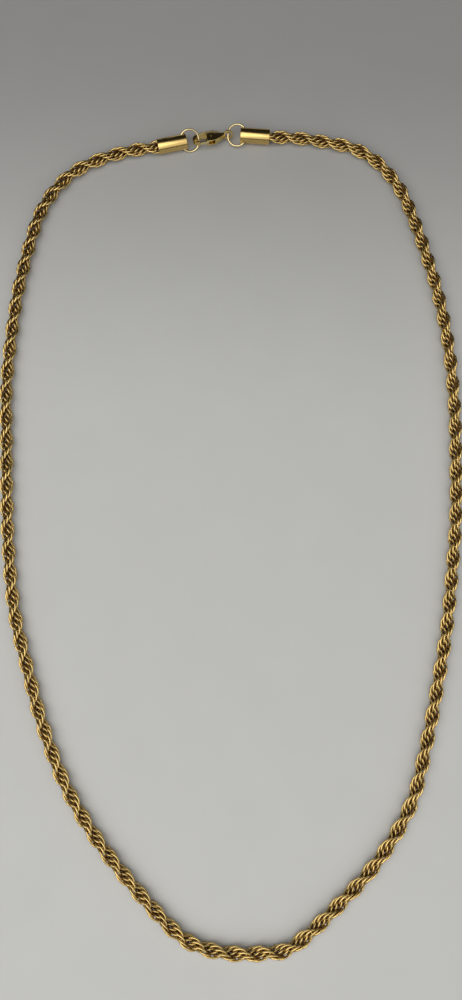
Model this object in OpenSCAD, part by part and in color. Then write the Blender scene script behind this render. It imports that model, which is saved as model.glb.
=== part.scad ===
// Rope chain necklace, laid in its long open loop on a flat surface and fastened with a lobster clasp.
// Millimetres, +Z up, +Y towards the clasp, Z = 0 is the surface that the necklace lies on.
// The origin is the middle of the loop on that surface.

/* [Rope chain] */
// Outer diameter of the rope
chain_d = 4; // [3.4:0.1:4.4]
// Sides of the plain tube that stands for the rope
chain_sides = 8; // [8:2:12]
// Radial clearance between the rope and the bore of a cap
chain_clearance = 0.05; // [0.03:0.01:0.15]
// Space left between the end of the rope and the bottom of the bore
chain_end_gap = 0.4; // [0.2:0.1:0.8]

/* [End caps] */
// Length of each cap
cap_l = 9; // [8.4:0.2:12]
// Wall of the cap round the rope
cap_wall = 0.2; // [0.15:0.05:0.4]
// Chamfer on both rims of a cap
cap_chamfer = 0.1; // [0.05:0.01:0.14]
// Wall between the cross hole and the closed face of a cap
cap_end_wall = 0.5; // [0.4:0.1:0.8]
// Wall between the cross hole and the bottom of the bore
cap_web = 0.7; // [0.5:0.1:1]

/* [Jump rings] */
// Space between a cap and the inside of the ring's round ends
ring_room = 0.2; // [0.1:0.05:0.5]
// Thickness of the ring wire
ring_wire = 0.6; // [0.5:0.05:0.65]
// Length of the straight stretch on both sides of the oval rings
ring_flat = 0.8; // [0.5:0.1:1.2]
// Width of the butt split in each ring
ring_split = 0.1; // [0.05:0.05:0.3]
// Clearance between a ring and the hole that it passes through
ring_clearance = 0.1; // [0.06:0.02:0.2]
// Lean of the left ring about the line of its cap, far side up
left_lean = 38; // [36:1:38]
// Lean of the right ring about the line of its cap, far side up
right_lean = 18; // [13:1:20]
// Place of the split in the left ring, as an angle from the clasp's side of the ring
left_split = 170; // [150:5:175]
// Place of the split in the right ring, as an angle from the cap's side of the ring
right_split = 112; // [100:4:130]

/* [Lobster clasp] */
// Length of the clasp from the nose to the end of the tail eye
clasp_l = 12.5; // [12:0.1:13.4]
// Width of the body
clasp_w = 5.2; // [5:0.1:5.6]
// Thickness of the body
clasp_t = 2.4; // [2.2:0.1:2.8]
// Outer width of the hook
hook_w = 4.7; // [4.6:0.1:5]
// Width of the bar that the hook is made of
hook_bar = 1; // [0.9:0.05:1.05]
// Thickness of the hook at its nose
hook_t = 1.15; // [1:0.05:1.3]
// Straight length of the window behind its round end
window_l = 2; // [1.8:0.1:2.2]
// Length of the nose, from its tip to the gate
nose_l = 1.75; // [1.6:0.05:1.85]
// Width of the tail that runs into the eye
tail_w = 1.4; // [1.2:0.1:1.6]
// How far the tail runs into the wall of the eye
tail_lap = 0.4; // [0.25:0.05:0.45]
// Space between the left ring and the inside of the nose
seat_gap = 0.55; // [0.4:0.05:0.7]
// How far the left ring passes to the far side of the clasp's middle line
seat_side = 0.45; // [0.4:0.05:0.55]
// Thickness of the spring lever
lever_t = 0.8; // [0.6:0.05:0.85]
// Width of the gate, the part of the lever that closes the mouth
gate_w = 0.7; // [0.6:0.02:0.76]
// How far the thumb knob stands out of the body
knob_out = 0.6; // [0.4:0.1:0.8]
// Greatest opening angle of the lever
lever_open = 18; // [14:1:19]
// Distance from the middle of the hook's round end back to the pin
pin_back = 3.4; // [3.3:0.1:3.7]
// Distance of the pin from the clasp's middle line, towards the gate
pin_side = 0.6; // [0.4:0.1:0.7]
// How far the thumb knob lies ahead of the pin
knob_lead = 0.7; // [0.5:0.1:0.8]
// Wall of the lever round its pin
boss_wall = 0.4; // [0.3:0.05:0.45]
// Length of the body's shoulder beside the elbow of the gate
shoulder_l = 0.5; // [0.3:0.1:0.6]
// Diameter of the pin that the lever turns on
pin_d = 0.8; // [0.6:0.05:0.9]
// Clearance round the lever in its slot and at the mouth
lever_clearance = 0.1; // [0.06:0.02:0.15]
// Radial clearance between the pin and the lever
pin_clearance = 0.05; // [0.03:0.01:0.08]
// Outer diameter of the tail eye
eye_d = 2.9; // [2.8:0.05:3.2]
// Diameter of the hole in the tail eye
eye_hole = 1.8; // [1.75:0.05:1.95]
// Thickness of the tail eye along its hole
eye_t = 0.65; // [0.55:0.05:0.75]

/* [Hidden] */
$fn = 48;

gold = "goldenrod";
pale_gold = "khaki";

// Middle line of the rope on the surface, from the left cap round the loop to the right cap
chain_route = [
    [-35.5, 109], [-44.5, 105.5], [-51.5, 101], [-56.5, 95], [-60, 88], [-62, 80], [-64.5, 64],
    [-65.5, 48], [-65.5, 32], [-64, 16], [-62.5, 0], [-60.5, -16], [-57.5, -32], [-52.5, -47.5],
    [-47, -62.5], [-40, -77], [-31, -90], [-20, -102], [-8, -113], [-0.5, -116.5], [7.5, -117.5],
    [15.5, -117], [23, -115], [35, -104], [45.5, -92], [53.5, -78], [57.5, -62.5], [60.5, -46.5],
    [63, -30.5], [64.5, -14.5], [65.5, 1.5], [65.5, 18], [65, 34], [63.5, 50], [60.5, 66],
    [56, 81.5], [50.5, 96.5], [46.5, 103.5], [41, 109.5], [34, 113.5], [26.5, 115], [17.5, 116]];

// Place of the tail eye, the directions in which the clasp and the two caps lie, and the clasp's roll
eye_at = [-4.7, 116.1];
clasp_turn = 14;
clasp_roll = -24;
left_turn = 15.5;
right_turn = -1;

// Sizes of the caps and of the cross hole that the bent ring wire needs
cap_r = chain_d / 2 + chain_clearance + cap_wall;
ring_inner_r = cap_r + ring_room;
ring_r = ring_inner_r + ring_wire / 2;
wire_bend_y = cap_r - ring_flat / 2;
cross_near = sqrt(ring_inner_r * ring_inner_r - wire_bend_y * wire_bend_y) - ring_r - ring_clearance;
cross_far = ring_wire / 2 + ring_clearance;
cross_d = cross_far - cross_near;
cap_face = cross_near - cap_end_wall;
cap_mouth = cap_face + cap_l;
bore_bottom = cross_far + cap_web;
rope_end = bore_bottom + chain_end_gap;

// The rings and the tail eye lie at the height of the caps' middle lines
line_z = cap_r;
clasp_reach = clasp_l - eye_d / 2;

// Hook and window, measured from the nose
hook_r = hook_w / 2;
window_r = hook_r - hook_bar;
window_end = hook_r + window_l;

// Where the left ring passes through the window, measured from the nose along and across the clasp
hook_seat = [hook_bar + ring_wire / 2 + seat_gap, seat_side];

// Lever, measured from the nose: its pin, the elbow and end of the gate, and the thumb knob
pin_at = [hook_r + pin_back, -pin_side];
boss_r = pin_d / 2 + pin_clearance + boss_wall;
gate_y = -hook_r + gate_w / 2 + lever_clearance;
gate_elbow = [pin_at[0] - boss_r - gate_w / 2, gate_y];
gate_end = [nose_l + lever_clearance + gate_w / 2, gate_y];
knob_at = [pin_at[0] - knob_lead, clasp_w / 2 - gate_w / 2 + knob_out];

// Mouth, which the gate's end sweeps, and the lever's slot, in which the knob swings back
mouth_r = norm(gate_end - pin_at) + gate_w / 2 + lever_clearance;
mouth_end = gate_elbow[0] - shoulder_l;
knob_arm = knob_at - pin_at;
knob_swing = knob_arm[0] * cos(lever_open) + knob_arm[1] * sin(lever_open);
slot_back = pin_at[0] + max(boss_r, knob_swing + gate_w / 2) + lever_clearance;
slot_front = knob_at[0] - gate_w / 2 - lever_clearance;

// Body, measured from the nose: its wide middle at the pin, and its narrow tail
body_at = pin_at[0];
tail_end = clasp_reach - eye_d / 2 + tail_lap;
tail_at = tail_end - tail_w / 2;

function along(a) = [cos(a), sin(a)];
function rolled(a, roll, p) = [p[0] * cos(a) - p[1] * cos(roll) * sin(a),
                               p[0] * sin(a) + p[1] * cos(roll) * cos(a)];

// Middles of the two rings, then the points on the caps' middle lines where their wire passes
nose_at = eye_at - clasp_reach * along(clasp_turn);
left_ring_at = nose_at + rolled(clasp_turn, clasp_roll, hook_seat) - ring_r * along(left_turn);
right_ring_at = eye_at + ring_r * along(right_turn);
left_seat = left_ring_at - ring_r * along(left_turn);
right_seat = right_ring_at + ring_r * along(right_turn);

function left_line(x) = concat(left_seat - x * along(left_turn), [line_z]);
function right_line(x) = concat(right_seat + x * along(right_turn), [line_z]);

// The rope's points: out of the left cap, round the loop at half its thickness, into the right cap
rope_points = concat([left_line(rope_end), left_line(cap_mouth)],
                     [for (p = chain_route) [p[0], p[1], chain_d / 2]],
                     [right_line(cap_mouth), right_line(rope_end)]);

// A smooth curve through four points in a row, between the second and the third
function curve(a, b, c, d, t) =
    0.5 * (2 * b + (c - a) * t + (2 * a - 5 * b + 4 * c - d) * t * t + (3 * b - a - 3 * c + d) * t * t * t);

last = len(rope_points) - 1;
long_span = 3 * chain_d;
rope_rings = concat([rope_points[0]],
    [for (i = [1 : last - 2])
        let (a = rope_points[i - 1], b = rope_points[i], c = rope_points[i + 1], d = rope_points[i + 2],
             steps = norm(c - b) > long_span ? 2 : 1)
        for (k = [0 : steps - 1]) curve(a, b, c, d, k / steps)],
    [rope_points[last - 1], rope_points[last]]);

// One ring of the tube's corners, square to the way from the ring before to the ring after
function ring_corners(i) =
    let (before = rope_rings[max(i - 1, 0)],
         after = rope_rings[min(i + 1, len(rope_rings) - 1)],
         way = after - before,
         flat = norm([way[0], way[1]]),
         side = [way[1], -way[0], 0] / flat,
         up = cross(side, way) / norm(way))
    [for (k = [0 : chain_sides - 1])
        let (a = 360 * k / chain_sides, r = chain_d / 2)
        rope_rings[i] + r * sin(a) * side + r * cos(a) * up];

module rope_chain() {
    rings = len(rope_rings);
    n = chain_sides;
    corners = [for (i = [0 : rings - 1]) each ring_corners(i)];
    walls = [for (i = [0 : rings - 2], k = [0 : n - 1])
        let (a = i * n + k, b = i * n + (k + 1) % n)
        each [[a, b, b + n], [a, b + n, a + n]]];
    start = [for (k = [0 : n - 1]) n - 1 - k];
    end = [for (k = [0 : n - 1]) (rings - 1) * n + k];
    color(gold) polyhedron(points = corners, faces = concat([start], walls, [end]));
}

// A cap along +X with its ring seat at the origin, its closed face towards -X and its bore towards +X
module end_cap(lean) {
    color(gold) difference() {
        translate([cap_face, 0, 0]) rotate([0, 90, 0]) rotate_extrude()
            polygon([[0, 0], [cap_r - cap_chamfer, 0], [cap_r, cap_chamfer], [cap_r, cap_l - cap_chamfer],
                     [cap_r - cap_chamfer, cap_l], [0, cap_l]]);
        translate([bore_bottom, 0, 0]) rotate([0, 90, 0])
            cylinder(r = chain_d / 2 + chain_clearance, h = cap_l);
        rotate([lean, 0, 0]) translate([(cross_near + cross_far) / 2, 0, 0]) rotate([90, 0, 0])
            cylinder(d = cross_d, h = 3 * cap_r, center = true);
    }
}

module end_cap_left() {
    translate(left_line(0)) rotate([0, 0, left_turn + 180]) end_cap(-left_lean);
}

module end_cap_right() {
    translate(right_line(0)) rotate([0, 0, right_turn]) end_cap(right_lean);
}

// An oval wire ring lying across +Z, straight on its two sides, with its split at the given angle from +X
module jump_ring(split_at) {
    color(pale_gold) difference() {
        for (half = [0, 180]) rotate([0, 0, half]) {
            translate([0, ring_flat / 2, 0]) rotate_extrude(angle = 180)
                translate([ring_r, 0]) circle(d = ring_wire);
            translate([ring_r, 0, 0]) rotate([90, 0, 0]) cylinder(d = ring_wire, h = ring_flat, center = true);
        }
        translate([0, ring_flat / 2, 0]) rotate([0, 0, split_at]) translate([ring_r, 0, 0])
            cube([2 * ring_wire, ring_split, 2 * ring_wire], center = true);
    }
}

module jump_ring_left() {
    translate(concat(left_ring_at, [line_z])) rotate([left_lean, 0, left_turn]) jump_ring(left_split);
}

module jump_ring_right() {
    translate(concat(right_ring_at, [line_z])) rotate([right_lean, 0, right_turn]) jump_ring(right_split);
}

// Puts clasp pieces, drawn from the nose along +X, between the two rings
module in_clasp() {
    translate(concat(eye_at, [line_z])) rotate([clasp_roll, 0, clasp_turn]) translate([-clasp_reach, 0, 0])
        children();
}

// Outline of the claw seen from above: round hook, wide body and narrow tail
module claw_outline() {
    hull() {
        translate([hook_r, 0]) circle(r = hook_r);
        translate([body_at, 0]) circle(d = clasp_w);
    }
    hull() {
        translate([body_at, 0]) circle(d = clasp_w);
        translate([tail_at, 0]) circle(d = tail_w);
    }
}

// Thickness of the claw seen from the side: thin nose, full body and thin tail
module claw_profile() {
    polygon([[0, -hook_t / 2], [hook_bar, -hook_t / 2], [mouth_end, -clasp_t / 2], [slot_back, -clasp_t / 2],
             [tail_end, -tail_w / 2], [tail_end, tail_w / 2], [slot_back, clasp_t / 2],
             [mouth_end, clasp_t / 2], [hook_bar, hook_t / 2], [0, hook_t / 2]]);
}

module clasp_body() {
    color(gold) in_clasp() difference() {
        union() {
            intersection() {
                linear_extrude(height = clasp_t, center = true) claw_outline();
                rotate([90, 0, 0]) linear_extrude(height = 2 * clasp_w, center = true) claw_profile();
            }
            translate([clasp_reach, 0, 0]) rotate([90, 0, 0]) cylinder(d = eye_d, h = eye_t, center = true);
        }
        // window inside the hook
        linear_extrude(height = 2 * clasp_t, center = true) {
            translate([hook_r, 0]) circle(r = window_r);
            translate([hook_r, -window_r]) square([window_end - hook_r, 2 * window_r]);
        }
        // mouth on the near side, cleared by the swing of the gate
        intersection() {
            translate(pin_at) cylinder(r = mouth_r, h = 2 * clasp_t, center = true);
            translate([0, -clasp_w, -clasp_t]) cube([mouth_end, clasp_w, 2 * clasp_t]);
        }
        // slot for the lever, open to the mouth and through the far shoulder
        linear_extrude(height = lever_t + 2 * lever_clearance, center = true) {
            translate([hook_r, -clasp_w]) square([slot_back - hook_r, clasp_w + window_r]);
            translate([slot_front, 0]) square([slot_back - slot_front, clasp_w]);
        }
        translate(pin_at) cylinder(d = pin_d, h = 2 * clasp_t, center = true);
        translate([clasp_reach, 0, 0]) rotate([90, 0, 0]) cylinder(d = eye_hole, h = 2 * eye_t, center = true);
    }
}

module clasp_lever() {
    color(pale_gold) in_clasp() difference() {
        linear_extrude(height = lever_t, center = true) {
            hull() {
                translate(gate_end) circle(d = gate_w);
                translate(gate_elbow) circle(d = gate_w);
            }
            hull() {
                translate(gate_elbow) circle(d = gate_w);
                translate(pin_at) circle(r = boss_r);
            }
            hull() {
                translate(pin_at) circle(r = boss_r);
                translate(knob_at) circle(d = gate_w);
            }
        }
        translate(pin_at) cylinder(r = pin_d / 2 + pin_clearance, h = 2 * lever_t, center = true);
    }
}

module clasp_pin() {
    color(gold) in_clasp() translate(pin_at) cylinder(d = pin_d, h = clasp_t, center = true);
}

rope_chain();
end_cap_left();
end_cap_right();
jump_ring_left();
jump_ring_right();
clasp_body();
clasp_lever();
clasp_pin();
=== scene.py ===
import math

import bmesh
import bpy
from mathutils import Matrix, Vector


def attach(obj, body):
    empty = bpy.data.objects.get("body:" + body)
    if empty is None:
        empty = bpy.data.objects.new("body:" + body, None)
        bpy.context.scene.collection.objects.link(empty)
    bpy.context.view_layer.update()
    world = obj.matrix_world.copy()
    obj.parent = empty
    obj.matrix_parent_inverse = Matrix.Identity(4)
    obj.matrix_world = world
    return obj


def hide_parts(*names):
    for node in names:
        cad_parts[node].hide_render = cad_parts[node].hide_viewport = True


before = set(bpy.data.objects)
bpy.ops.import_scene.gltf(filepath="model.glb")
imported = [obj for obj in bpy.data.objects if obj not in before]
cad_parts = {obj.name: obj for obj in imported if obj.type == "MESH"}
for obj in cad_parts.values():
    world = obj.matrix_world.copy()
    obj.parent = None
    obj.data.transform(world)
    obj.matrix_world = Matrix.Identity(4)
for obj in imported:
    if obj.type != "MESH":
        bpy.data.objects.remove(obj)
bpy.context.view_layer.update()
scene = bpy.context.scene

# Camera: it looks down on the loop from above its front half.
# It is tipped a little towards the clasp and turned a little in its own plane.
camera_at = Vector((0.0013, -0.0335, 0.2273))
camera_tip = math.radians(9.09)
camera_turn = math.radians(2.61)
camera_data = bpy.data.cameras.new("camera")
camera_data.sensor_fit = "VERTICAL"
camera_data.sensor_height = 36
camera_data.lens = 28.8
camera_data.clip_start = 0.01


def add_object(name, data):
    """Puts an object with this camera, curve, mesh or light into the scene."""
    thing = bpy.data.objects.new(name, data)
    scene.collection.objects.link(thing)
    return thing


camera = add_object("camera", camera_data)
camera.matrix_world = (
    Matrix.Translation(camera_at)
    @ Matrix.Rotation(camera_tip, 4, "X")
    @ Matrix.Rotation(camera_turn, 4, "Z")
)
scene.camera = camera


# Rope chain: small open oval links of round gold-plated wire, each threaded through the ones before it.
# A link lies flat along the outside of the rope and is twisted across the core, where its gap is hidden.
# Each is turned half round and a little on from the last, so two strands wind right-handed together.
MM = 0.001
ROPE_D = 4.0 * MM
CAP_R = 2.25 * MM
HALF_TURN = 6.25 * MM
LINKS_PER_HALF_TURN = 11
LINK_WIRE = 0.54 * MM
LINK_OFFSET = 0.585 * MM
LINK_SHIFT = 0.397 * MM
LINK_R = ROPE_D / 2 - LINK_WIRE / 2 - LINK_OFFSET
LINK_STRETCH = 1.6
LINK_GAP = math.radians(50)
LINK_GAP_PLACE = math.radians(190)
LINK_TWIST = math.radians(-36.2)
LINK_TWIST_POWER = 1.91
INWARD_SLOPE = -0.4999
LINK_LEAN = (math.radians(-11.6), math.radians(-2.2), 0)
LINK_JITTER = (0.015, 0.02, 0.02)
LINK_SEED = 7
LINK_SEGMENTS = 14
LINK_SIDES = 6
ROUTE_RESOLUTION = 24
ROPE_END_TRIM = 1.3 * MM
ROPE_START_TURN = math.radians(-72)

# The real twist isn't even: how far it runs ahead of an even one, as metres along the rope and degrees
TWIST_DRIFT = [
    (0.0, 85), (0.037, 85), (0.059, 117), (0.081, 111), (0.103, 82), (0.125, 17), (0.147, 6), (0.169, -6),
    (0.213, -12), (0.257, -10), (0.279, 23), (0.301, 32), (0.323, 20), (0.345, 14), (0.367, 9), (0.389, 0),
    (0.433, 2), (0.455, -12), (0.477, -60), (0.499, -85), (0.521, -60), (0.543, -35), (0.6, -35)]

# The route's points are those of the part's source, with the rope's ends and the mouths of both caps
LEFT_END = [(-0.02047, 0.11240), (-0.02602, 0.11086)]
RIGHT_END = [(0.00805, 0.11588), (0.00230, 0.11598)]
CHAIN_ROUTE = [
    (-0.0355, 0.109), (-0.0445, 0.1055), (-0.0515, 0.101), (-0.0565, 0.095), (-0.060, 0.088),
    (-0.062, 0.080), (-0.0645, 0.064), (-0.0655, 0.048), (-0.0655, 0.032), (-0.064, 0.016),
    (-0.0625, 0.0), (-0.0605, -0.016), (-0.0575, -0.032), (-0.0525, -0.0475), (-0.047, -0.0625),
    (-0.040, -0.077), (-0.031, -0.090), (-0.020, -0.102), (-0.008, -0.113), (-0.0005, -0.1165),
    (0.0075, -0.1175), (0.0155, -0.117), (0.023, -0.115), (0.035, -0.104), (0.0455, -0.092),
    (0.0535, -0.078), (0.0575, -0.0625), (0.0605, -0.0465), (0.063, -0.0305), (0.0645, -0.0145),
    (0.0655, 0.0015), (0.0655, 0.018), (0.065, 0.034), (0.0635, 0.050), (0.0605, 0.066),
    (0.056, 0.0815), (0.0505, 0.0965), (0.0465, 0.1035), (0.041, 0.1095), (0.034, 0.1135),
    (0.0265, 0.115), (0.0175, 0.116)]


def add_node(tree, kind, settings=None, inputs=None):
    """Adds a node, sets its properties, and links or sets the inputs named by place or name."""
    node = tree.nodes.new(kind)
    for name, value in (settings or {}).items():
        setattr(node, name, value)
    for name, value in (inputs or {}).items():
        socket = node.inputs[name]
        if isinstance(value, bpy.types.NodeSocket):
            tree.links.new(value, socket)
        else:
            socket.default_value = value
    return node


def math_node(tree, operation, *values):
    """Adds a Math node on numbers or sockets and returns its output."""
    node = add_node(tree, "ShaderNodeMath", {"operation": operation}, dict(enumerate(values)))
    return node.outputs[0]


def add_sockets(tree, way, sockets):
    """Gives a node tree its named inputs or outputs, from rows of name, socket type and value."""
    for name, kind, value in sockets:
        socket = tree.interface.new_socket(name=name, in_out=way, socket_type=kind)
        if value is not None:
            socket.default_value = value


def rope_tree():
    """Node tree that winds open wire links along a curve, as one mesh."""
    tree = bpy.data.node_groups.new("wind_rope_links", "GeometryNodeTree")
    add_sockets(tree, "INPUT", [
        ("Geometry", "NodeSocketGeometry", None),
        ("Half turn", "NodeSocketFloat", HALF_TURN),
        ("Links per half turn", "NodeSocketInt", LINKS_PER_HALF_TURN),
        ("Link radius", "NodeSocketFloat", LINK_R),
        ("Link stretch", "NodeSocketFloat", LINK_STRETCH),
        ("Link offset", "NodeSocketFloat", LINK_OFFSET),
        ("Wire thickness", "NodeSocketFloat", LINK_WIRE),
        ("Gap", "NodeSocketFloat", LINK_GAP),
        ("Gap place", "NodeSocketFloat", LINK_GAP_PLACE),
        ("Link shift", "NodeSocketFloat", LINK_SHIFT),
        ("Twist", "NodeSocketFloat", LINK_TWIST),
        ("Twist power", "NodeSocketFloat", LINK_TWIST_POWER),
        ("Lean", "NodeSocketRotation", LINK_LEAN),
        ("Segments", "NodeSocketInt", LINK_SEGMENTS),
        ("Sides", "NodeSocketInt", LINK_SIDES),
        ("End trim", "NodeSocketFloat", ROPE_END_TRIM),
        ("Start turn", "NodeSocketFloat", ROPE_START_TURN),
        ("Seed", "NodeSocketInt", LINK_SEED),
        ("Metal", "NodeSocketMaterial", None),
    ])
    add_sockets(tree, "OUTPUT", [("Geometry", "NodeSocketGeometry", None)])
    given = tree.nodes.new("NodeGroupInput").outputs

    # One link: an open oval in the plane of the rope's line and its radius, its inner side twisted,
    # then leaned and moved off the line
    sweep = math_node(tree, "SUBTRACT", 2 * math.pi, given["Gap"])
    start = math_node(tree, "MULTIPLY_ADD", given["Gap"], 0.5, given["Gap place"])
    ring = add_node(tree, "GeometryNodeCurveArc", {"mode": "RADIUS"}, {
        "Resolution": given["Segments"], "Radius": given["Link radius"],
        "Start Angle": start, "Sweep Angle": sweep})
    ring_place = add_node(tree, "GeometryNodeInputPosition").outputs["Position"]
    ring_y = add_node(tree, "ShaderNodeSeparateXYZ", None, {0: ring_place}).outputs["Y"]
    # How far inward a point lies, from just under 1 to just over 0, so that a power of it can be taken
    outward = math_node(tree, "DIVIDE", ring_y, given["Link radius"])
    inward = math_node(tree, "MULTIPLY_ADD", outward, INWARD_SLOPE, 0.5)
    twist_share = math_node(tree, "POWER", inward, given["Twist power"])
    twist = math_node(tree, "MULTIPLY", twist_share, given["Twist"])
    stretch = add_node(tree, "ShaderNodeCombineXYZ", None, {"X": given["Link stretch"], "Y": 1.0, "Z": 1.0})
    oval = add_node(tree, "ShaderNodeVectorMath", {"operation": "MULTIPLY"}, {
        0: ring_place, 1: stretch.outputs["Vector"]})
    twisted = add_node(tree, "ShaderNodeVectorRotate", {"rotation_type": "Y_AXIS"}, {
        "Vector": oval.outputs["Vector"], "Angle": twist})
    arc = add_node(tree, "GeometryNodeSetPosition", None, {
        "Geometry": ring.outputs["Curve"], "Position": twisted.outputs["Vector"]})
    profile = add_node(tree, "GeometryNodeCurvePrimitiveCircle", {"mode": "RADIUS"}, {
        "Resolution": given["Sides"],
        "Radius": math_node(tree, "MULTIPLY", given["Wire thickness"], 0.5)})
    wire = add_node(tree, "GeometryNodeCurveToMesh", None, {
        "Curve": arc.outputs["Geometry"], "Profile Curve": profile.outputs["Curve"], "Fill Caps": True})
    offset = add_node(tree, "ShaderNodeCombineXYZ", None, {
        "Y": given["Link offset"], "Z": given["Link shift"]})
    link = add_node(tree, "GeometryNodeTransform", None, {
        "Geometry": wire.outputs["Mesh"], "Rotation": given["Lean"],
        "Translation": offset.outputs["Vector"]})
    smooth = add_node(tree, "GeometryNodeSetShadeSmooth", None, {"Geometry": link.outputs["Geometry"]})

    # How far each point of a link lies from the rope's middle line, for the painted shade between the
    # strands
    place = add_node(tree, "GeometryNodeInputPosition")
    flat = add_node(tree, "ShaderNodeVectorMath", {"operation": "MULTIPLY"}, {
        0: place.outputs["Position"], 1: (0, 1, 1)})
    distance = add_node(tree, "ShaderNodeVectorMath", {"operation": "LENGTH"}, {0: flat.outputs["Vector"]})
    reach = math_node(tree, "ADD", given["Link radius"], given["Link offset"])
    marked = add_node(tree, "GeometryNodeStoreNamedAttribute", {"data_type": "FLOAT", "domain": "POINT"}, {
        "Geometry": smooth.outputs["Geometry"], "Name": "out_of_core",
        "Value": math_node(tree, "DIVIDE", distance.outputs["Value"], reach)})

    # The rope's line, with a point for each link
    curved = add_node(tree, "GeometryNodeCurveSplineType", {"spline_type": "CATMULL_ROM"}, {
        "Curve": given["Geometry"]})
    fine = add_node(tree, "GeometryNodeSetSplineResolution", None, {
        "Geometry": curved.outputs["Curve"], "Resolution": ROUTE_RESOLUTION})
    length = add_node(tree, "GeometryNodeCurveLength", None, {"Curve": fine.outputs["Geometry"]})
    # Trim Curve has unseen inputs for factors under the same names, so its two lengths are set by place
    trim_start, trim_end = 4, 5
    trimmed = add_node(tree, "GeometryNodeTrimCurve", {"mode": "LENGTH"}, {
        "Curve": fine.outputs["Geometry"], trim_start: given["End trim"],
        trim_end: math_node(tree, "SUBTRACT", length.outputs["Length"], given["End trim"])})
    spacing = math_node(tree, "DIVIDE", given["Half turn"], given["Links per half turn"])
    line = add_node(tree, "GeometryNodeResampleCurve", {"mode": "LENGTH"}, {
        "Curve": trimmed.outputs["Curve"], "Length": spacing})

    # Each link's turn about the line: half round, its share of the half turn, and the drift in the tilt.
    # It also gets a small random turn about the line and across it, in radians.
    along = add_node(tree, "GeometryNodeSplineParameter")
    number = add_node(tree, "GeometryNodeInputIndex")
    wound = math_node(tree, "DIVIDE", along.outputs["Length"], given["Half turn"])
    turns = math_node(tree, "ADD", math_node(tree, "MODULO", number.outputs["Index"], 2.0), wound)
    turn = math_node(tree, "MULTIPLY_ADD", turns, math.pi, given["Start turn"])
    tilt = add_node(tree, "GeometryNodeInputCurveTilt").outputs["Tilt"]
    drifted = math_node(tree, "ADD", turn, tilt)
    jitter = add_node(tree, "FunctionNodeRandomValue", {"data_type": "FLOAT_VECTOR"}, {
        "Min": tuple(-most for most in LINK_JITTER), "Max": LINK_JITTER,
        "ID": number.outputs["Index"], "Seed": given["Seed"]})
    jitter_parts = add_node(tree, "ShaderNodeSeparateXYZ", None, {0: jitter.outputs["Value"]})
    euler = add_node(tree, "ShaderNodeCombineXYZ", None, {
        "X": math_node(tree, "ADD", drifted, jitter_parts.outputs["X"]),
        "Y": jitter_parts.outputs["Y"], "Z": jitter_parts.outputs["Z"]})
    own_turn = add_node(tree, "FunctionNodeEulerToRotation", None, {0: euler.outputs["Vector"]})
    tangent = add_node(tree, "GeometryNodeInputTangent")
    facing = add_node(tree, "FunctionNodeAxesToRotation", {"primary_axis": "X", "secondary_axis": "Z"}, {
        0: tangent.outputs["Tangent"], 1: (0, 0, 1)})
    turned = add_node(tree, "FunctionNodeRotateRotation", {"rotation_space": "LOCAL"}, {
        0: facing.outputs["Rotation"], 1: own_turn.outputs["Rotation"]})
    links = add_node(tree, "GeometryNodeInstanceOnPoints", None, {
        "Points": line.outputs["Curve"], "Instance": marked.outputs["Geometry"],
        "Rotation": turned.outputs["Rotation"]})

    # A random tone for each link, which its material reads
    tone = add_node(tree, "FunctionNodeRandomValue", {"data_type": "FLOAT"}, {
        "ID": number.outputs["Index"], "Seed": math_node(tree, "ADD", given["Seed"], 1.0)})
    per_link = {"data_type": "FLOAT", "domain": "INSTANCE"}
    toned = add_node(tree, "GeometryNodeStoreNamedAttribute", per_link, {
        "Geometry": links.outputs["Instances"], "Name": "link_tone", "Value": tone.outputs[1]})
    real = add_node(tree, "GeometryNodeRealizeInstances", None, {"Geometry": toned.outputs["Geometry"]})
    metal = add_node(tree, "GeometryNodeSetMaterial", None, {
        "Geometry": real.outputs["Geometry"], "Material": given["Metal"]})
    add_node(tree, "NodeGroupOutput", None, {"Geometry": metal.outputs["Geometry"]})
    return tree


# Plating: how unevenly it has browned, and how long, deep and rough its fine scratches are
STAIN_UNEVEN = 0.5
SCRATCH_STRETCH = (0.12, 1.0, 1.0)
SCRATCH_HEIGHT = 0.02 * MM
SCRATCH_ROUGH = 0.14


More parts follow.
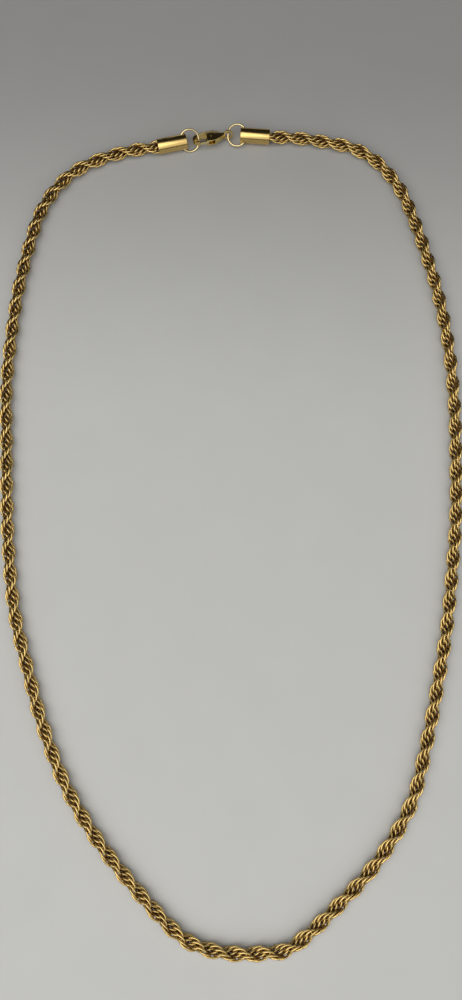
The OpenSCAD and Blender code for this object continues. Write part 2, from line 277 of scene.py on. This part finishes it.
def wear_group():
    """Shared effect: finely scratched plating, brown and dull in random stains and wherever a material
    feeds in more brown, which on the chain is painted shade towards the core.
    """
    tree = bpy.data.node_groups.new("plating_wear_and_shade", "ShaderNodeTree")
    add_sockets(tree, "INPUT", [
        ("Place", "NodeSocketVector", None),
        ("Bright", "NodeSocketColor", (0.8, 0.58, 0.25, 1)),
        ("Brown", "NodeSocketColor", (0.12, 0.06, 0.02, 1)),
        ("Stain and shade", "NodeSocketFloat", 0.1),
        ("Stain scale", "NodeSocketFloat", 900.0),
        ("Scratch scale", "NodeSocketFloat", 2500.0),
        ("Scratch depth", "NodeSocketFloat", 0.2),
        ("Rough bright", "NodeSocketFloat", 0.2),
        ("Rough brown", "NodeSocketFloat", 0.5),
    ])
    add_sockets(tree, "OUTPUT", [
        ("Color", "NodeSocketColor", None),
        ("Roughness", "NodeSocketFloat", None),
        ("Normal", "NodeSocketVector", None),
    ])
    given = tree.nodes.new("NodeGroupInput").outputs
    stain = add_node(tree, "ShaderNodeTexNoise", None, {
        "Vector": given["Place"], "Scale": given["Stain scale"], "Detail": 4.0, "Roughness": 0.65})
    uneven = math_node(tree, "MULTIPLY_ADD", stain.outputs["Fac"], STAIN_UNEVEN, -STAIN_UNEVEN / 2)
    brown = add_node(tree, "ShaderNodeMapRange", {"interpolation_type": "SMOOTHSTEP"}, {
        "Value": math_node(tree, "ADD", uneven, given["Stain and shade"])})
    colour = add_node(tree, "ShaderNodeMix", {"data_type": "RGBA"}, {
        "Factor": brown.outputs["Result"], "A": given["Bright"], "B": given["Brown"]})
    stretched = add_node(tree, "ShaderNodeMapping", None, {
        "Vector": given["Place"], "Scale": SCRATCH_STRETCH})
    scratches = add_node(tree, "ShaderNodeTexNoise", None, {
        "Vector": stretched.outputs["Vector"], "Scale": given["Scratch scale"],
        "Detail": 3.0, "Roughness": 0.7})
    rough = add_node(tree, "ShaderNodeMapRange", None, {
        "Value": brown.outputs["Result"], "To Min": given["Rough bright"], "To Max": given["Rough brown"]})
    scratched = math_node(
        tree, "MULTIPLY_ADD", scratches.outputs["Fac"], SCRATCH_ROUGH, rough.outputs["Result"])
    rubbed = math_node(tree, "SUBTRACT", scratched, SCRATCH_ROUGH / 2)
    bump = add_node(tree, "ShaderNodeBump", None, {
        "Strength": given["Scratch depth"], "Distance": SCRATCH_HEIGHT, "Height": scratches.outputs["Fac"]})
    add_node(tree, "NodeGroupOutput", None, {
        "Color": colour.outputs["Result"], "Roughness": rubbed, "Normal": bump.outputs["Normal"]})
    return tree


def metal_material(name, looks):
    """A metal whose surface comes from the shared wear, with its own values for the wear's inputs."""
    metal = bpy.data.materials.new(name)
    metal.use_nodes = True
    tree = metal.node_tree
    surface = tree.nodes["Principled BSDF"]
    surface.inputs["Metallic"].default_value = 1.0
    place = add_node(tree, "ShaderNodeTexCoord").outputs["Object"]
    wear = add_node(tree, "ShaderNodeGroup", {"name": "wear", "node_tree": plating_wear_and_shade}, {
        "Place": place, **looks})
    tree.links.new(wear.outputs["Color"], surface.inputs["Base Color"])
    tree.links.new(wear.outputs["Roughness"], surface.inputs["Roughness"])
    tree.links.new(wear.outputs["Normal"], surface.inputs["Normal"])
    return metal


# Painted shade of the links, browner towards the rope's core where they hide each other: where the outside
# and the core begin, as shares of a link's reach from the rope's middle line, how brown each of them is,
# and how the tone differs from link to link
OUTSIDE_AT = 0.9
OUTSIDE_SHADE = 0.06
CORE_AT = 0.45
CORE_SHADE = 0.92
TONE_LEAST = 0.88
TONE_SPREAD = 0.25


def chain_gold():
    """Plated wire: bright on the outside of the rope, with painted shade that browns it towards the core,
    where the links hide each other.
    """
    metal = metal_material("chain_gold", {
        "Bright": (0.8, 0.58, 0.22, 1), "Brown": (0.21, 0.1, 0.025, 1), "Rough bright": 0.22})
    tree = metal.node_tree
    wear = tree.nodes["wear"]
    out_of_core = add_node(tree, "ShaderNodeAttribute", {"attribute_name": "out_of_core"})
    # Painted shade: the links turn brown towards the rope's core, where they hide each other
    hidden = add_node(tree, "ShaderNodeMapRange", None, {
        "Value": out_of_core.outputs["Fac"], "From Min": OUTSIDE_AT, "From Max": CORE_AT,
        "To Min": OUTSIDE_SHADE, "To Max": CORE_SHADE})
    tree.links.new(hidden.outputs["Result"], wear.inputs["Stain and shade"])
    link_tone = add_node(tree, "ShaderNodeAttribute", {"attribute_name": "link_tone"})
    tone = math_node(tree, "MULTIPLY_ADD", link_tone.outputs["Fac"], TONE_SPREAD, TONE_LEAST)
    varied = add_node(tree, "ShaderNodeHueSaturation", None, {
        "Color": wear.outputs["Color"], "Value": tone})
    tree.links.new(varied.outputs["Color"], tree.nodes["Principled BSDF"].inputs["Base Color"])
    return metal


def set_inputs(modifier, values):
    """Sets a Geometry Nodes modifier's inputs by the sockets' identifiers."""
    for item in modifier.node_group.interface.items_tree:
        if item.item_type == "SOCKET" and item.in_out == "INPUT" and item.name in values:
            modifier[item.identifier] = values[item.name]


def drift_at(length):
    """The twist's drift at a length along the rope, between the rows of the list."""
    for (start, first), (end, last) in zip(TWIST_DRIFT, TWIST_DRIFT[1:]):
        if length <= end:
            return math.radians(first + (last - first) * (length - start) / (end - start))
    return math.radians(TWIST_DRIFT[-1][1])


def route_line(name, points):
    """A curve object through points in metres, as one open spline whose tilt is the twist's drift."""
    curve = bpy.data.curves.new(name, "CURVE")
    curve.dimensions = "3D"
    spline = curve.splines.new("POLY")
    spline.points.add(len(points) - 1)
    length = 0
    for number, (point, place) in enumerate(zip(spline.points, points)):
        length += math.dist(place, points[max(0, number - 1)])
        point.co = (*place, 1)
        point.tilt = drift_at(length)
    return add_object(name, curve)


def finished_mesh(source, name):
    """What an object's modifiers make of it, as a plain mesh."""
    bpy.context.view_layer.update()
    evaluated = source.evaluated_get(bpy.context.evaluated_depsgraph_get())
    mesh = bpy.data.meshes.new_from_object(evaluated)
    mesh.name = name
    return mesh


plating_wear_and_shade = wear_group()
rope_points = (
    [(x, y, CAP_R) for x, y in LEFT_END]
    + [(x, y, ROPE_D / 2) for x, y in CHAIN_ROUTE]
    + [(x, y, CAP_R) for x, y in RIGHT_END])
rope_line = route_line("rope_line", rope_points)
winding = rope_line.modifiers.new("wind", "NODES")
winding.node_group = rope_tree()
set_inputs(winding, {"Metal": chain_gold()})
rope = add_object("rope_links", finished_mesh(rope_line, "rope_links"))
bpy.data.objects.remove(rope_line)
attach(rope, "necklace")
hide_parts("rope_chain")


# End caps: short round tubes turned from one bar and plated, each drilled across for its jump ring.
# The rope's end is glued into the bore. Both rims and the cross hole have broken edges.
RIM_ROUND = 0.06 * MM
RIM_ANGLE = math.radians(30)
MERGE_DISTANCE = 1e-7


def fitting_gold(name, bright, browned, rough):
    """Polished plated metal of the fittings, with a little tarnish."""
    return metal_material(name, {
        "Bright": bright, "Brown": (0.2, 0.11, 0.04, 1), "Stain and shade": browned,
        "Stain scale": 450.0, "Scratch scale": 1800.0, "Scratch depth": 0.12,
        "Rough bright": rough, "Rough brown": 0.4})


def solid_copy(node, name):
    """A closed copy of a CAD node's mesh, with its loose triangles merged."""
    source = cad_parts[node]
    shape = bmesh.new()
    shape.from_mesh(source.data)
    bmesh.ops.transform(shape, matrix=source.matrix_world, verts=shape.verts)
    bmesh.ops.remove_doubles(shape, verts=shape.verts, dist=MERGE_DISTANCE)
    mesh = bpy.data.meshes.new(name)
    shape.to_mesh(mesh)
    shape.free()
    return add_object(name, mesh)


def apply_modifiers(piece):
    """Turns a piece's live modifiers into its plain mesh."""
    mesh = finished_mesh(piece, piece.name)
    piece.modifiers.clear()
    piece.data = mesh


def coat(piece, metal):
    """Gives a piece one metal all over."""
    piece.data.materials.clear()
    piece.data.materials.append(metal)


cap_gold = fitting_gold("cap_gold", (0.83, 0.59, 0.22, 1), 0.14, 0.21)
for side in ("left", "right"):
    cap = solid_copy("end_cap_" + side, "cap_" + side)
    rims = cap.modifiers.new("rims", "BEVEL")
    rims.width = RIM_ROUND
    rims.segments = 3
    rims.limit_method = "ANGLE"
    rims.angle_limit = RIM_ANGLE
    apply_modifiers(cap)
    coat(cap, cap_gold)
    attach(cap, "necklace")
    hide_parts("end_cap_" + side)


# Jump rings: slightly oval rings of round wire with a paler plating. Each is bent shut to a butt split
# that isn't soldered, and joins the hole across one cap to the clasp.
ring_gold = fitting_gold("ring_gold", (0.9, 0.74, 0.4, 1), 0.08, 0.14)
for side in ("left", "right"):
    coat(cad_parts["jump_ring_" + side], ring_gold)


# Lobster clasp: a cast claw with softly domed faces and rounded edges, tumbled and plated.
# The spring lever is pressed from plate and turns on a rivet; its gate closes the mouth on the near side.
CLASP_EYE_AT = Vector((-0.0047, 0.1161, CAP_R))
CLASP_TURN = math.radians(14)
CLASP_ROLL = math.radians(-24)
CLASP_REACH = 11.05 * MM
HOOK_R = 2.35 * MM
BODY_AT = 5.75 * MM
BODY_R = 2.6 * MM
TAIL_AT = 9.3 * MM
TAIL_R = 0.7 * MM
CLASP_HALF_T = 1.2 * MM
SLOT_HALF_T = 0.5 * MM
DOME = 0.45 * MM
DOME_POWER = 2.5
CLAW_VOXEL = 0.055 * MM
CLAW_PASSES = 10
LEVER_VOXEL = 0.04 * MM
LEVER_PASSES = 5

clasp_place = (
    Matrix.Translation(CLASP_EYE_AT) @ Matrix.Rotation(CLASP_TURN, 4, "Z")
    @ Matrix.Rotation(CLASP_ROLL, 4, "X") @ Matrix.Translation((-CLASP_REACH, 0, 0)))


def claw_half_width(x):
    """Half the claw's width at a distance from its nose, behind the hook's round end."""
    if x < BODY_AT:
        return HOOK_R + (BODY_R - HOOK_R) * max(0, x - HOOK_R) / (BODY_AT - HOOK_R)
    return BODY_R + (TAIL_R - BODY_R) * min(1, (x - BODY_AT) / (TAIL_AT - BODY_AT))


def dome_faces(piece):
    """Lowers the claw's flat faces towards its outline, outside the lever's slot."""
    into = clasp_place.inverted()
    for point in piece.data.vertices:
        x, y, z = into @ point.co
        above = abs(z) - SLOT_HALF_T
        if above <= 0 or x > CLASP_REACH - TAIL_R:
            continue
        out = math.hypot(x - HOOK_R, y) / HOOK_R if x < HOOK_R else abs(y) / claw_half_width(x)
        sink = DOME * min(1, out) ** DOME_POWER * above / (CLASP_HALF_T - SLOT_HALF_T)
        point.co = clasp_place @ Vector((x, y, z - math.copysign(sink, z)))


def cast_copy(node, name, voxel, passes):
    """A CAD node remade as a cast or pressed piece, with all its edges softened."""
    piece = solid_copy(node, name)
    remesh = piece.modifiers.new("remesh", "REMESH")
    remesh.mode = "VOXEL"
    remesh.voxel_size = voxel
    remesh.use_smooth_shade = True
    apply_modifiers(piece)
    if node == "clasp_body":
        dome_faces(piece)
    soften = piece.modifiers.new("soften", "SMOOTH")
    soften.factor = 0.5
    soften.iterations = passes
    apply_modifiers(piece)
    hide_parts(node)
    return piece


clasp_gold = fitting_gold("clasp_gold", (0.8, 0.62, 0.24, 1), 0.16, 0.2)
claw = cast_copy("clasp_body", "claw", CLAW_VOXEL, CLAW_PASSES)
coat(claw, clasp_gold)
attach(claw, "necklace")

lever = cast_copy("clasp_lever", "spring_lever", LEVER_VOXEL, LEVER_PASSES)
coat(lever, ring_gold)
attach(lever, "lever")

coat(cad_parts["clasp_pin"], clasp_gold)


# Floor and light: a sheet of pale matt paper with painted shade that darkens it towards the clasp and
# behind it.
# A wide soft panel of light hangs overhead and in front, and a smaller and weaker lamp to the left, in a
# dim room.
FLOOR_SIZE = 2.0
FLOOR_NEAR = (0.665, 0.672, 0.66, 1)
FLOOR_SHADED = (0.4, 0.4, 0.395, 1)
FLOOR_SHADE_FADE = (0.02, 0.15)
FLOOR_GRAIN = 0.06
half = FLOOR_SIZE / 2
corners = [(-half, -half, 0), (half, -half, 0), (half, half, 0), (-half, half, 0)]
floor_mesh = bpy.data.meshes.new("floor")
floor_mesh.from_pydata(corners, [], [(0, 1, 2, 3)])
floor = add_object("floor", floor_mesh)


def pale_sheet():
    """Matt off-white paper with a faint unevenness, and painted shade that darkens it towards its far end.
    """
    sheet = bpy.data.materials.new("pale_sheet")
    sheet.use_nodes = True
    tree = sheet.node_tree
    surface = tree.nodes["Principled BSDF"]
    surface.inputs["Roughness"].default_value = 0.85
    surface.inputs["Specular IOR Level"].default_value = 0.2
    place = add_node(tree, "ShaderNodeTexCoord").outputs["Object"]
    y = add_node(tree, "ShaderNodeSeparateXYZ", None, {0: place}).outputs["Y"]
    # Painted shade: the paper turns darker towards its far end, past the clasp
    far = add_node(tree, "ShaderNodeMapRange", {"interpolation_type": "SMOOTHSTEP"}, {
        "Value": y, "From Min": FLOOR_SHADE_FADE[0], "From Max": FLOOR_SHADE_FADE[1]})
    colour = add_node(tree, "ShaderNodeMix", {"data_type": "RGBA"}, {
        "Factor": far.outputs["Result"], "A": FLOOR_NEAR, "B": FLOOR_SHADED})
    grain = add_node(tree, "ShaderNodeTexNoise", None, {"Vector": place, "Scale": 60.0, "Detail": 4.0})
    varied = add_node(tree, "ShaderNodeHueSaturation", None, {
        "Color": colour.outputs["Result"],
        "Value": math_node(tree, "MULTIPLY_ADD", grain.outputs["Fac"], FLOOR_GRAIN, 1 - FLOOR_GRAIN / 2)})
    tree.links.new(varied.outputs["Color"], surface.inputs["Base Color"])
    return sheet


floor_mesh.materials.append(pale_sheet())

PANEL_AT = (0, -0.47, 0.5)
PANEL_SIZE = (1.7, 1.25)
PANEL_POWER = 5.2
LAMP_AT = (-0.22, -0.14, 0.62)
LAMP_SIZE = 0.7
LAMP_POWER = 1.6
LIGHT_COLOUR = (1.0, 0.985, 0.96)
ROOM_COLOUR = (1.0, 0.99, 0.97, 1)
ROOM_DARK = 0.015
ROOM_FRONT = 0.12
ROOM_FADE = (-0.6, 0.2)
BACKDROP = 0.3


def area_light(name, place, way, size, power):
    """A soft rectangular light that shines along a direction."""
    light_data = bpy.data.lights.new(name, "AREA")
    light_data.shape = "RECTANGLE"
    light_data.size, light_data.size_y = size
    light_data.energy = power
    light_data.color = LIGHT_COLOUR
    light = add_object(name, light_data)
    light.location = place
    light.rotation_euler = Vector(way).to_track_quat("-Z", "Y").to_euler()


area_light("panel", PANEL_AT, (0, 0, -1), PANEL_SIZE, PANEL_POWER)
area_light("lamp", LAMP_AT, -Vector(LAMP_AT), (LAMP_SIZE, LAMP_SIZE), LAMP_POWER)

# The room's light comes a little from the front; what the camera itself sees of it is a grey backdrop
world = bpy.data.worlds.new("room")
world.use_nodes = True
room = world.node_tree
direction = add_node(room, "ShaderNodeTexCoord").outputs["Generated"]
towards_back = add_node(room, "ShaderNodeSeparateXYZ", None, {0: direction}).outputs["Y"]
dim = add_node(room, "ShaderNodeMapRange", {"interpolation_type": "SMOOTHSTEP"}, {
    "Value": towards_back, "From Min": ROOM_FADE[0], "From Max": ROOM_FADE[1],
    "To Min": ROOM_FRONT, "To Max": ROOM_DARK})
seen = add_node(room, "ShaderNodeLightPath").outputs["Is Camera Ray"]
strength = add_node(room, "ShaderNodeMix", {"data_type": "FLOAT"}, {
    "Factor": seen, "A": dim.outputs["Result"], "B": BACKDROP})
room.links.new(strength.outputs["Result"], room.nodes["Background"].inputs["Strength"])
room.nodes["Background"].inputs["Color"].default_value = ROOM_COLOUR
scene.world = world
scene.view_settings.view_transform = "Standard"
